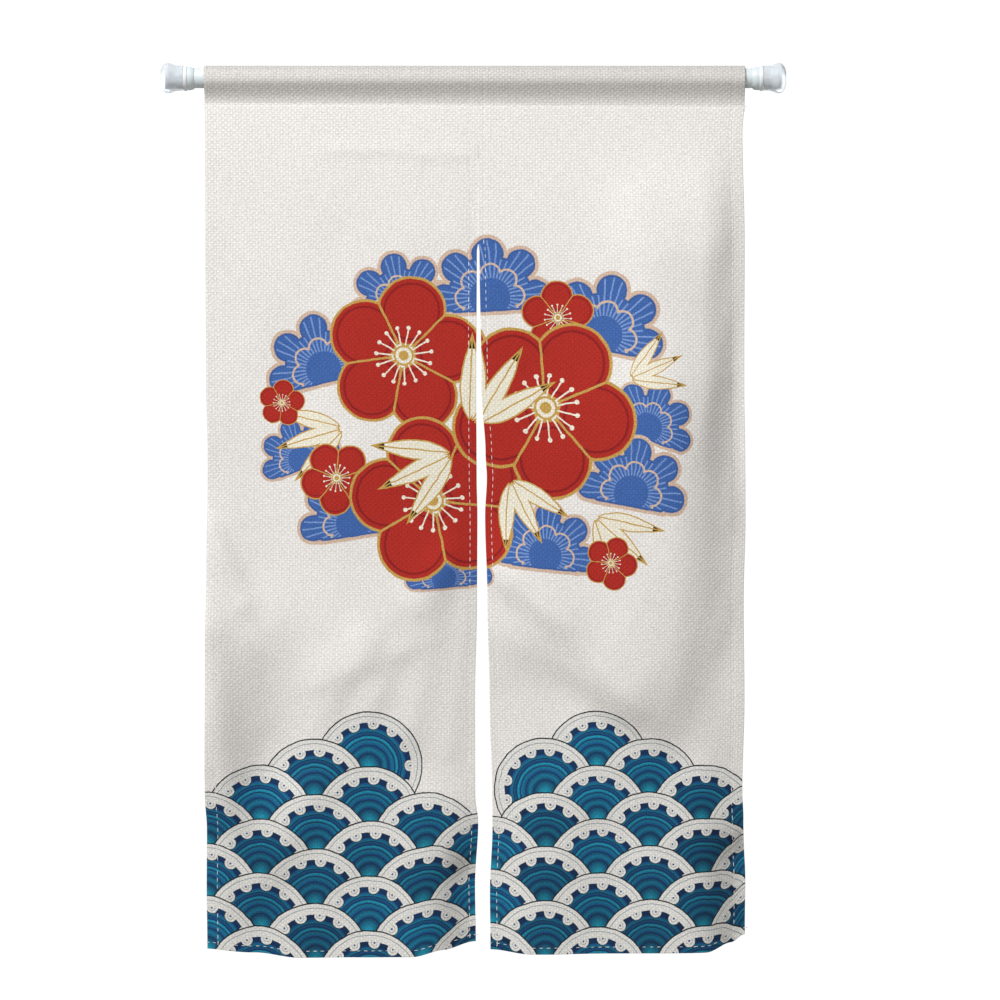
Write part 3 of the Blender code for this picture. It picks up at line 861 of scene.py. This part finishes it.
def weave_group():
    """Plain weave: crossing threads make small lumps, and thick and thin yarn makes streaks. The pocket's
    cloth gets painted shade, strongest along the top of the rod.
    """
    tree, given = new_group("plain_weave", {"Place": "Vector"}, {"Shade": "Float", "Lift": "Float"})
    place = given.outputs["Place"]
    per_metre = (2 * math.pi / REPEAT_ACROSS, 2 * math.pi / REPEAT_DOWN, 0.0)
    turns = add(tree, "ShaderNodeVectorMath", {0: place, 1: per_metre}, operation="MULTIPLY")
    waves = add(tree, "ShaderNodeVectorMath", {0: turns.outputs[0]}, operation="SINE")
    axes = add(tree, "ShaderNodeSeparateXYZ", {0: waves.outputs[0]})
    lump = add(tree, "ShaderNodeMath", {0: axes.outputs[0], 1: axes.outputs[1]}, operation="MULTIPLY")
    from_gap = add(
        tree, "ShaderNodeVectorMath", {0: waves.outputs[0], 1: waves.outputs[0]}, operation="DOT_PRODUCT",
    )
    crossing = add(tree, "ShaderNodeMath", {0: from_gap.outputs["Value"], 1: 1.0}, operation="SUBTRACT")
    lift = add(
        tree, "ShaderNodeMath", {0: from_gap.outputs["Value"], 1: CROSSING_LIFT, 2: lump.outputs[0]},
        operation="MULTIPLY_ADD",
    )
    shade = add(
        tree, "ShaderNodeMath", {0: lump.outputs[0], 1: CROSSING_CONTRAST, 2: 1.0}, operation="MULTIPLY_ADD",
    )
    shade = add(
        tree, "ShaderNodeMath", {0: crossing.outputs[0], 1: GRID_CONTRAST, 2: shade.outputs[0]},
        operation="MULTIPLY_ADD",
    )
    for yarn in YARNS:
        spacing = (yarn.across, yarn.down, 0.0)
        stretched = add(tree, "ShaderNodeVectorMath", {0: place, 1: spacing}, operation="MULTIPLY")
        uneven = add(
            tree, "ShaderNodeTexNoise", {"Vector": stretched.outputs[0], "Scale": 1.0, "Detail": 2.0},
        )
        centred = add(tree, "ShaderNodeMath", {0: uneven.outputs[0], 1: 0.5}, operation="SUBTRACT")
        shade = add(
            tree, "ShaderNodeMath",
            {0: centred.outputs[0], 1: yarn.contrast, 2: shade.outputs[0]}, operation="MULTIPLY_ADD",
        )
    # Painted shade: the pocket's cloth is made darker round the rod, and darker still along its top
    flat = add(tree, "ShaderNodeSeparateXYZ", {0: place})
    slant = (POCKET_SEAM_RIGHT - POCKET_SEAM_LEFT) / CLOTH_WIDTH
    slanted = add(
        tree, "ShaderNodeMath", {0: flat.outputs[0], 1: slant, 2: flat.outputs[1]}, operation="MULTIPLY_ADD",
    )
    above = add(tree, "ShaderNodeMath", {0: slanted.outputs[0], 1: POCKET_SEAM_LEFT}, operation="ADD")
    pocket = add(tree, "ShaderNodeMath", {0: above.outputs[0], 1: 0.0}, operation="GREATER_THAN")
    painted_shade = add(
        tree, "ShaderNodeMapRange",
        {0: above.outputs[0], 1: CROWN_STARTS, 2: CROWN_FULL, 3: -POCKET_PAINTED_SHADE, 4: -CROWN_PAINTED_SHADE},
    )
    shade = add(
        tree, "ShaderNodeMath", {0: pocket.outputs[0], 1: painted_shade.outputs[0], 2: shade.outputs[0]},
        operation="MULTIPLY_ADD",
    )
    add(tree, "NodeGroupOutput", {"Shade": shade.outputs[0], "Lift": lift.outputs[0]})
    return tree


def motif_group(name):
    """A group that prints one motif over a colour. Returns the tree, its input and the spot in it."""
    sockets = {"Place": "Vector", "Middle": "Vector", "Turn": "Vector", "Size": "Vector", "Under": "Color"}
    tree, given = new_group(name, sockets, {"Over": "Color"})
    spot = add(
        tree, "ShaderNodeMapping",
        {
            "Vector": given.outputs["Place"], "Location": given.outputs["Middle"],
            "Rotation": given.outputs["Turn"], "Scale": given.outputs["Size"],
        },
        vector_type="TEXTURE",
    )
    return tree, given.outputs["Under"], spot.outputs[0]


def over(tree, mask, under, ink):
    """Ink laid over a colour where the mask is 1."""
    return add(tree, "ShaderNodeMix", {0: mask, 6: under, 7: ink}, data_type="RGBA").outputs[2]


def blossom_group():
    """A plum blossom with five round petals, a pale line round each, and gold stamens."""
    tree, colour, spot = motif_group("plum_blossom")
    petals, petal_at, parting_width = 5, 0.56, 0.014
    stamens, stamen_length, stamen_width, tip_at, tip_radius = 15, 0.34, 0.009, 0.35, 0.026
    radius, in_petal = folded(tree, spot, petals)
    from_petal = add(
        tree, "ShaderNodeVectorMath", {0: in_petal, 1: (petal_at, 0.0, 0.0)}, operation="DISTANCE",
    )
    petal = add(
        tree, "ShaderNodeValToRGB", {0: from_petal.outputs["Value"]},
        stops=(
            (0.00, linear(RED)), (0.33, linear(RED)), (0.34, linear(DEEP_RED)), (0.355, linear(DEEP_RED)),
            (0.365, linear(RED)), (0.405, linear(RED)), (0.412, linear(GOLD)), (0.440, linear(GOLD)),
            (0.443, clear(GOLD)),
        ),
    )
    colour = over(tree, petal.outputs["Alpha"], colour, petal.outputs["Color"])
    beside = (math.sin(math.pi / petals), -math.cos(math.pi / petals), 0.0)
    from_side = add(tree, "ShaderNodeVectorMath", {0: in_petal, 1: beside}, operation="DOT_PRODUCT")
    parting = add(
        tree, "ShaderNodeMath", {0: from_side.outputs["Value"], 1: parting_width}, operation="LESS_THAN",
    )
    parting = add(
        tree, "ShaderNodeMath", {0: parting.outputs[0], 1: petal.outputs["Alpha"]}, operation="MULTIPLY",
    )
    colour = over(tree, parting.outputs[0], colour, linear(GOLD))
    _, in_stamen = folded(tree, spot, stamens)
    beside_stamen = add(tree, "ShaderNodeSeparateXYZ", {0: in_stamen})
    thread = add(
        tree, "ShaderNodeMath", {0: beside_stamen.outputs[1], 1: stamen_width}, operation="LESS_THAN",
    )
    short = add(tree, "ShaderNodeMath", {0: radius, 1: stamen_length}, operation="LESS_THAN")
    thread = add(tree, "ShaderNodeMath", {0: thread.outputs[0], 1: short.outputs[0]}, operation="MULTIPLY")
    from_tip = add(tree, "ShaderNodeVectorMath", {0: in_stamen, 1: (tip_at, 0, 0)}, operation="DISTANCE")
    tip = add(tree, "ShaderNodeMath", {0: from_tip.outputs["Value"], 1: tip_radius}, operation="LESS_THAN")
    stamen = add(tree, "ShaderNodeMath", {0: thread.outputs[0], 1: tip.outputs[0]}, operation="MAXIMUM")
    colour = over(tree, stamen.outputs[0], colour, linear(CREAM))
    core = add(
        tree, "ShaderNodeValToRGB", {0: radius},
        stops=(
            (0.0, linear(GOLD)), (0.06, linear(GOLD)), (0.065, linear(CREAM)), (0.10, linear(CREAM)),
            (0.105, linear(GOLD)), (0.125, linear(GOLD)), (0.13, clear(GOLD)),
        ),
    )
    colour = over(tree, core.outputs["Alpha"], colour, core.outputs["Color"])
    add(tree, "NodeGroupOutput", {"Over": colour})
    return tree


def pine_group():
    """A pine bough as a blue fan with a scalloped edge, needles and a beige line round it."""
    tree, colour, spot = motif_group("pine_bough")
    lobes, lobe_at, lobe_radius, disc_radius, foot_at, foot_rounding = 8, 0.70, 0.30, 0.72, -0.30, 0.12
    needles, needle_width, needles_from = 40, 0.013, 0.30
    ring_at, ring_radius, ring_half_width, rings_from = 0.36, 0.165, 0.017, 0.37
    radius, in_lobe = folded(tree, spot, lobes)
    from_lobe = add(tree, "ShaderNodeVectorMath", {0: in_lobe, 1: (lobe_at, 0, 0)}, operation="DISTANCE")
    lobe = add(tree, "ShaderNodeMath", {0: from_lobe.outputs["Value"], 1: lobe_radius}, operation="SUBTRACT")
    disc = add(tree, "ShaderNodeMath", {0: radius, 1: disc_radius}, operation="SUBTRACT")
    edge = add(tree, "ShaderNodeMath", {0: lobe.outputs[0], 1: disc.outputs[0]}, operation="MINIMUM")
    axes = add(tree, "ShaderNodeSeparateXYZ", {0: spot})
    foot = add(tree, "ShaderNodeMath", {0: foot_at, 1: axes.outputs[1]}, operation="SUBTRACT")
    depth = add(
        tree, "ShaderNodeMath", {0: edge.outputs[0], 1: foot.outputs[0], 2: foot_rounding},
        operation="SMOOTH_MAX",
    )
    share = add(tree, "ShaderNodeMapRange", {0: depth.outputs[0], 1: -0.5, 2: 0.0})
    fan = add(
        tree, "ShaderNodeValToRGB", {0: share.outputs[0]},
        stops=(
            (0.0, linear(BLUE)), (0.80, linear(BLUE)), (0.86, linear("#365a9c")), (0.89, linear(BEIGE)),
            (0.985, linear(BEIGE)), (1.0, clear(BEIGE)),
        ),
    )
    colour = over(tree, fan.outputs["Alpha"], colour, fan.outputs["Color"])
    within = add(tree, "ShaderNodeMath", {0: depth.outputs[0], 1: -0.10}, operation="LESS_THAN")
    _, in_needle = folded(tree, spot, needles)
    beside = add(tree, "ShaderNodeSeparateXYZ", {0: in_needle})
    needle = add(tree, "ShaderNodeMath", {0: beside.outputs[1], 1: needle_width}, operation="LESS_THAN")
    outer = add(tree, "ShaderNodeMath", {0: radius, 1: needles_from}, operation="GREATER_THAN")
    needle = add(tree, "ShaderNodeMath", {0: needle.outputs[0], 1: outer.outputs[0]}, operation="MULTIPLY")
    needle = add(tree, "ShaderNodeMath", {0: needle.outputs[0], 1: within.outputs[0]}, operation="MULTIPLY")
    colour = over(tree, needle.outputs[0], colour, linear(LIGHT_BLUE))
    from_inner = add(tree, "ShaderNodeVectorMath", {0: in_lobe, 1: (ring_at, 0, 0)}, operation="DISTANCE")
    ring = add(
        tree, "ShaderNodeMath", {0: from_inner.outputs["Value"], 1: ring_radius, 2: ring_half_width},
        operation="COMPARE",
    )
    beyond = add(tree, "ShaderNodeMath", {0: radius, 1: rings_from}, operation="GREATER_THAN")
    ring = add(tree, "ShaderNodeMath", {0: ring.outputs[0], 1: beyond.outputs[0]}, operation="MULTIPLY")
    ring = add(tree, "ShaderNodeMath", {0: ring.outputs[0], 1: within.outputs[0]}, operation="MULTIPLY")
    colour = over(tree, ring.outputs[0], colour, linear(BEIGE))
    add(tree, "NodeGroupOutput", {"Over": colour})
    return tree


def leaf_group():
    """A spray of three cream bamboo leaves with gold lines and black tips."""
    tree, colour, spot = motif_group("bamboo_leaves")
    spread = math.radians(30)  # from one leaf to the next
    leaf_from, leaf_fullness, half_width, tip_from = 0.06, 0.72, 0.118, 0.82
    vein_half_width, outline_half_width, edge = 0.008, 0.009, 0.001
    axes = add(tree, "ShaderNodeSeparateXYZ", {0: spot})
    angle = add(tree, "ShaderNodeMath", {0: axes.outputs[1], 1: axes.outputs[0]}, operation="ARCTAN2")
    ahead = add(tree, "ShaderNodeMath", {0: angle.outputs[0], 1: spread / 2}, operation="ADD")
    nearest = add(tree, "ShaderNodeMath", {0: ahead.outputs[0], 1: spread}, operation="SNAP")
    leaf = add(tree, "ShaderNodeClamp", {0: nearest.outputs[0], 1: -spread, 2: spread})
    back = add(tree, "ShaderNodeMath", {0: 0.0, 1: leaf.outputs[0]}, operation="SUBTRACT")
    moved = add(
        tree, "ShaderNodeVectorRotate", {"Vector": spot, "Angle": back.outputs[0]}, rotation_type="Z_AXIS",
    )
    along = add(tree, "ShaderNodeSeparateXYZ", {0: moved.outputs[0]})
    share = add(tree, "ShaderNodeMapRange", {0: along.outputs[0], 1: leaf_from, 2: 1.0})
    rounder = add(tree, "ShaderNodeMath", {0: share.outputs[0], 1: leaf_fullness}, operation="POWER")
    turns = add(tree, "ShaderNodeMath", {0: rounder.outputs[0], 1: math.pi}, operation="MULTIPLY")
    swell = add(tree, "ShaderNodeMath", {0: turns.outputs[0]}, operation="SINE")
    width = add(tree, "ShaderNodeMath", {0: swell.outputs[0], 1: half_width}, operation="MULTIPLY")
    beside = add(tree, "ShaderNodeMath", {0: along.outputs[1]}, operation="ABSOLUTE")
    depth = add(tree, "ShaderNodeMath", {0: beside.outputs[0], 1: width.outputs[0]}, operation="SUBTRACT")
    within = add(tree, "ShaderNodeMath", {0: depth.outputs[0], 1: -edge}, operation="LESS_THAN")
    tip = add(tree, "ShaderNodeMath", {0: along.outputs[0], 1: tip_from}, operation="GREATER_THAN")
    fill = over(tree, tip.outputs[0], linear(CREAM), linear(BLACK))
    colour = over(tree, within.outputs[0], colour, fill)
    vein = add(tree, "ShaderNodeMath", {0: beside.outputs[0], 1: vein_half_width}, operation="LESS_THAN")
    outline = add(
        tree, "ShaderNodeMath", {0: depth.outputs[0], 1: -outline_half_width, 2: outline_half_width},
        operation="COMPARE",
    )
    line = add(tree, "ShaderNodeMath", {0: vein.outputs[0], 1: outline.outputs[0]}, operation="MAXIMUM")
    line = add(tree, "ShaderNodeMath", {0: line.outputs[0], 1: within.outputs[0]}, operation="MULTIPLY")
    colour = over(tree, line.outputs[0], colour, linear(GOLD))
    add(tree, "NodeGroupOutput", {"Over": colour})
    return tree


def crest_height(tree, across):
    """How far down the wave band starts at a place across the cloth."""
    share = add(tree, "ShaderNodeMath", {0: across, 1: CLOTH_WIDTH}, operation="DIVIDE")
    crest = add(
        tree, "ShaderNodeValToRGB", {0: share.outputs[0]},
        stops=[(position, (height, height, height, 1.0)) for position, height in CRESTS],
    )
    crest.color_ramp.interpolation = "EASE"
    return add(
        tree, "ShaderNodeMath", {0: crest.outputs[0], 1: BAND_SPAN, 2: BAND_DROP}, operation="MULTIPLY_ADD",
    ).outputs[0]


def scale_group():
    """One row of wave scales: rings of blue under a crest of foam, over what lies under them."""
    sockets = {"Place": "Vector", "Row": "Float", "Under": "Color"}
    tree, given = new_group("wave_scales", sockets, {"Over": "Color"})
    axes = add(tree, "ShaderNodeSeparateXYZ", {0: given.outputs["Place"]})
    row_space = SCALE_RADIUS / 2
    curls, curls_at, edge, darkest, lightest = 13, 0.77, 0.999, 0.75, 1.30
    drop = add(tree, "ShaderNodeMath", {0: axes.outputs[1], 1: -1 / row_space}, operation="MULTIPLY")
    whole = add(tree, "ShaderNodeMath", {0: drop.outputs[0]}, operation="CEIL")
    row = add(tree, "ShaderNodeMath", {0: whole.outputs[0], 1: given.outputs["Row"]}, operation="ADD")
    shift = add(tree, "ShaderNodeMath", {0: row.outputs[0], 1: 1.0}, operation="PINGPONG")
    across = add(
        tree, "ShaderNodeMath", {0: axes.outputs[0], 1: SCALE_RADIUS}, operation="DIVIDE",
    )
    shifted = add(tree, "ShaderNodeMath", {0: across.outputs[0], 1: shift.outputs[0]}, operation="SUBTRACT")
    halved = add(tree, "ShaderNodeMath", {0: shifted.outputs[0], 1: 0.5}, operation="MULTIPLY")
    nearest = add(tree, "ShaderNodeMath", {0: halved.outputs[0]}, operation="ROUND")
    column = add(
        tree, "ShaderNodeMath", {0: nearest.outputs[0], 1: 2.0, 2: shift.outputs[0]},
        operation="MULTIPLY_ADD",
    )
    beside = add(tree, "ShaderNodeMath", {0: across.outputs[0], 1: column.outputs[0]}, operation="SUBTRACT")
    below = add(tree, "ShaderNodeMath", {0: row.outputs[0], 1: drop.outputs[0]}, operation="SUBTRACT")
    above = add(tree, "ShaderNodeMath", {0: below.outputs[0], 1: 0.5}, operation="MULTIPLY")
    spot = add(tree, "ShaderNodeCombineXYZ", {0: beside.outputs[0], 1: above.outputs[0]})
    radius, in_curl = folded(tree, spot.outputs[0], curls)
    rings = add(
        tree, "ShaderNodeValToRGB", {0: radius},
        stops=(
            (0.00, linear(BRIGHT_TEAL)), (0.22, linear(NAVY)), (0.30, linear(TEAL)),
            (0.38, linear(NAVY)), (0.40, linear(MID_BLUE)), (0.46, linear(TEAL)),
            (0.48, linear(BLACK)), (0.49, linear(MID_BLUE)), (0.53, linear(BRIGHT_TEAL)),
            (0.55, linear(NAVY)), (0.60, linear(MID_BLUE)), (0.62, linear(BLACK)),
            (0.63, linear(TEAL)), (0.68, linear(MID_BLUE)), (0.70, linear(NAVY)),
            (0.78, linear(NAVY)), (1.0, linear(NAVY)),
        ),
    )
    number = add(tree, "ShaderNodeCombineXYZ", {0: row.outputs[0], 1: column.outputs[0]})
    chance = add(tree, "ShaderNodeTexWhiteNoise", {"Vector": number.outputs[0]}, noise_dimensions="2D")
    depth = add(tree, "ShaderNodeMapRange", {0: chance.outputs["Value"], 3: darkest, 4: lightest})
    tinted = add(
        tree, "ShaderNodeHueSaturation", {"Value": depth.outputs[0], "Color": rings.outputs["Color"]},
    )
    foam = add(
        tree, "ShaderNodeValToRGB", {0: radius},
        stops=(
            (0.79, clear(FOAM)), (0.792, linear(FOAM)), (0.895, linear(FOAM)), (0.899, linear(FOAM_LINE)),
            (0.908, linear(FOAM_LINE)), (0.912, linear(FOAM)), (0.972, linear(FOAM)),
            (0.978, linear(BLACK)), (0.998, linear(BLACK)), (1.0, clear(BLACK)),
        ),
    )
    from_curl = add(tree, "ShaderNodeVectorMath", {0: in_curl, 1: (curls_at, 0, 0)}, operation="DISTANCE")
    curl = add(
        tree, "ShaderNodeValToRGB", {0: from_curl.outputs["Value"]},
        stops=(
            (0.0, linear(MID_BLUE)), (0.018, linear(MID_BLUE)), (0.020, linear(FOAM)), (0.050, linear(FOAM)),
            (0.053, linear(FOAM_LINE)), (0.060, linear(FOAM_LINE)), (0.063, linear(FOAM)),
            (0.104, linear(FOAM)), (0.107, linear(BLACK)), (0.117, linear(BLACK)), (0.120, clear(BLACK)),
        ),
    )
    colour = over(tree, curl.outputs["Alpha"], tinted.outputs[0], curl.outputs["Color"])
    colour = over(tree, foam.outputs["Alpha"], colour, foam.outputs["Color"])
    inside = add(tree, "ShaderNodeMath", {0: radius, 1: edge}, operation="LESS_THAN")
    middle = add(tree, "ShaderNodeMath", {0: column.outputs[0], 1: SCALE_RADIUS}, operation="MULTIPLY")
    crest = crest_height(tree, middle.outputs[0])
    top = add(
        tree, "ShaderNodeMath", {0: row.outputs[0], 1: row_space, 2: -SCALE_RADIUS},
        operation="MULTIPLY_ADD",
    )
    there = add(tree, "ShaderNodeMath", {0: top.outputs[0], 1: crest}, operation="GREATER_THAN")
    mask = add(
        tree, "ShaderNodeMath", {0: there.outputs[0], 1: inside.outputs[0]}, operation="MULTIPLY",
    )
    add(tree, "NodeGroupOutput", {"Over": over(tree, mask.outputs[0], given.outputs["Under"], colour)})
    return tree


def print_cluster(tree, place, colour, groups):
    """The pine, bamboo and plum in the middle of the curtain."""
    for motif in MOTIFS:
        printed = add(
            tree, "ShaderNodeGroup",
            {
                "Place": place, "Middle": (motif.across, -motif.drop, 0.0),
                "Turn": (0.0, 0.0, math.radians(motif.turn)),
                "Size": (motif.size, motif.size, 1.0), "Under": colour,
            },
            node_tree=groups[motif.kind],
        )
        colour = printed.outputs["Over"]
    return colour


def print_band(tree, place, colour, groups):
    """The wave scales along the bottom, from the rows behind to those in front."""
    for row in (-1.0, 0.0, 1.0):
        printed = add(
            tree, "ShaderNodeGroup", {"Place": place, "Row": row, "Under": colour},
            node_tree=groups["scales"],
        )
        colour = printed.outputs["Over"]
    return colour


def woven_cloth(name, print_on, strength, groups):
    """Plain-woven linen-look polyester, matt and uneven, its print fainter on the back."""
    material, tree = new_material(name)
    flat = add(tree, "ShaderNodeUVMap", uv_map="flat_cloth").outputs[0]
    weave = add(tree, "ShaderNodeGroup", {"Place": flat}, node_tree=groups["weave"])
    colour = linear(CLOTH)
    if print_on:
        wander = add(tree, "ShaderNodeTexNoise", {"Vector": flat, "Scale": 60.0, "Detail": 2.0})
        centred = add(
            tree, "ShaderNodeVectorMath", {0: wander.outputs["Color"], 1: (0.5, 0.5, 0.5)},
            operation="SUBTRACT",
        )
        moved = add(
            tree, "ShaderNodeVectorMath",
            {0: centred.outputs[0], 1: (INK_WANDER, INK_WANDER, 0.0), 2: flat}, operation="MULTIPLY_ADD",
        )
        inked = print_on(tree, moved.outputs[0], colour, groups)
        colour = over(tree, strength, colour, inked)
        shade = add(
            tree, "ShaderNodeVectorMath", {0: colour, "Scale": weave.outputs["Shade"]}, operation="SCALE",
        )
    else:
        shade = add(
            tree, "ShaderNodeVectorMath", {0: colour[:3], "Scale": weave.outputs["Shade"]}, operation="SCALE",
        )
    bump = add(tree, "ShaderNodeBump", {"Height": weave.outputs["Lift"], "Distance": WEAVE_DEPTH})
    shader = add(
        tree, "ShaderNodeBsdfPrincipled",
        {
            "Base Color": shade.outputs[0], "Roughness": 0.85, "Sheen Weight": 0.08,
            "Specular IOR Level": 0.25, "Normal": bump.outputs[0],
        },
    )
    add(tree, "ShaderNodeOutputMaterial", {"Surface": shader.outputs[0]})
    return material


def cloth_materials():
    """The plain, clustered and banded cloth, first from the printed side and then from the back."""
    groups = {
        "weave": weave_group(), "blossom": blossom_group(), "pine": pine_group(), "leaf": leaf_group(),
        "scales": scale_group(),
    }
    kinds = (("plain", None), ("flowers", print_cluster), ("waves", print_band))
    materials = []
    for side, strength in (("front", 1.0), ("back", BACK_STRENGTH)):
        for name, print_on in kinds:
            materials.append(woven_cloth("woven_polyester_" + name + "_" + side, print_on, strength, groups))
    return materials


def sewing_thread():
    """Spun polyester thread, whiter than the cloth."""
    material, tree = new_material("spun_polyester_thread")
    shader = add(tree, "ShaderNodeBsdfPrincipled", {"Base Color": linear("#f7f4ef"), "Roughness": 0.6})
    add(tree, "ShaderNodeOutputMaterial", {"Surface": shader.outputs[0]})
    return material


def painted_steel():
    """Powder-coated steel tube."""
    material, tree = new_material("powder_coated_steel")
    shader = add(tree, "ShaderNodeBsdfPrincipled", {"Base Color": linear("#e7f0f3"), "Roughness": 0.4})
    add(tree, "ShaderNodeOutputMaterial", {"Surface": shader.outputs[0]})
    return material


def moulded_plastic():
    """Injection-moulded glossy polypropylene, pale like the rod, its lip by the foot painted whiter as a
    painted highlight.
    """
    material, tree = new_material("moulded_polypropylene")
    place = add(tree, "ShaderNodeTexCoord")
    along = add(tree, "ShaderNodeSeparateXYZ", {0: place.outputs["Object"]})
    from_end = add(tree, "ShaderNodeMath", {0: along.outputs[0], 1: ROD_LENGTH / 2}, operation="PINGPONG")
    beyond_lip = add(
        tree, "ShaderNodeMath", {0: from_end.outputs[0], 1: FERRULE_START + LIP_WIDTH},
        operation="GREATER_THAN",
    )
    # Painted highlight: the lip by the foot is made whiter than the rest
    colour = over(tree, beyond_lip.outputs[0], linear("#fbfdff"), linear("#e4eef2"))
    shader = add(tree, "ShaderNodeBsdfPrincipled", {"Base Color": colour, "Roughness": 0.3})
    add(tree, "ShaderNodeOutputMaterial", {"Surface": shader.outputs[0]})
    return material


def cloudy_rubber():
    """Cloudy clear thermoplastic rubber, moulded, which light enters a little way."""
    material, tree = new_material("cloudy_moulded_rubber")
    shader = add(
        tree, "ShaderNodeBsdfPrincipled",
        {
            "Base Color": linear("#edf2f6"), "Roughness": 0.5, "Specular IOR Level": 0.4,
            "Transmission Weight": 0.38, "IOR": 1.15,
        },
    )
    add(tree, "ShaderNodeOutputMaterial", {"Surface": shader.outputs[0]})
    return material


def finish_piece(obj, node):
    """Makes a piece ride on the model and stand for its node, which is hidden."""
    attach(obj, "root")
    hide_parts(node)


def dress_rod():
    """The tube, its ferrules and its feet."""
    tube = turned("rod_tube_painted", tube_profile(), True, False, painted_steel())
    finish_piece(tube, "rod_tube")
    plastic, rubber = moulded_plastic(), cloudy_rubber()
    for side, from_right in (("left", False), ("right", True)):
        ferrule = turned(side + "_ferrule_moulded", ferrule_profile(), True, from_right, plastic)
        finish_piece(ferrule, side + "_ferrule")
        foot = turned(side + "_foot_moulded", foot_profile(), False, from_right, rubber)
        finish_piece(foot, side + "_foot")


def dress_cloth():
    """The two panels and their stitches."""
    materials = cloth_materials()
    tree = stitch_tree(sewing_thread())
    for panel in PANELS:
        grid = panel_grid(panel)
        sheet = make_sheet(panel, grid, materials)
        stitches = make_stitches(panel.name + "_stitches", stitch_lines(grid), tree)
        finish_piece(sheet, panel.name)
        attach(stitches, "root")


make_studio()
dress_rod()
dress_cloth()
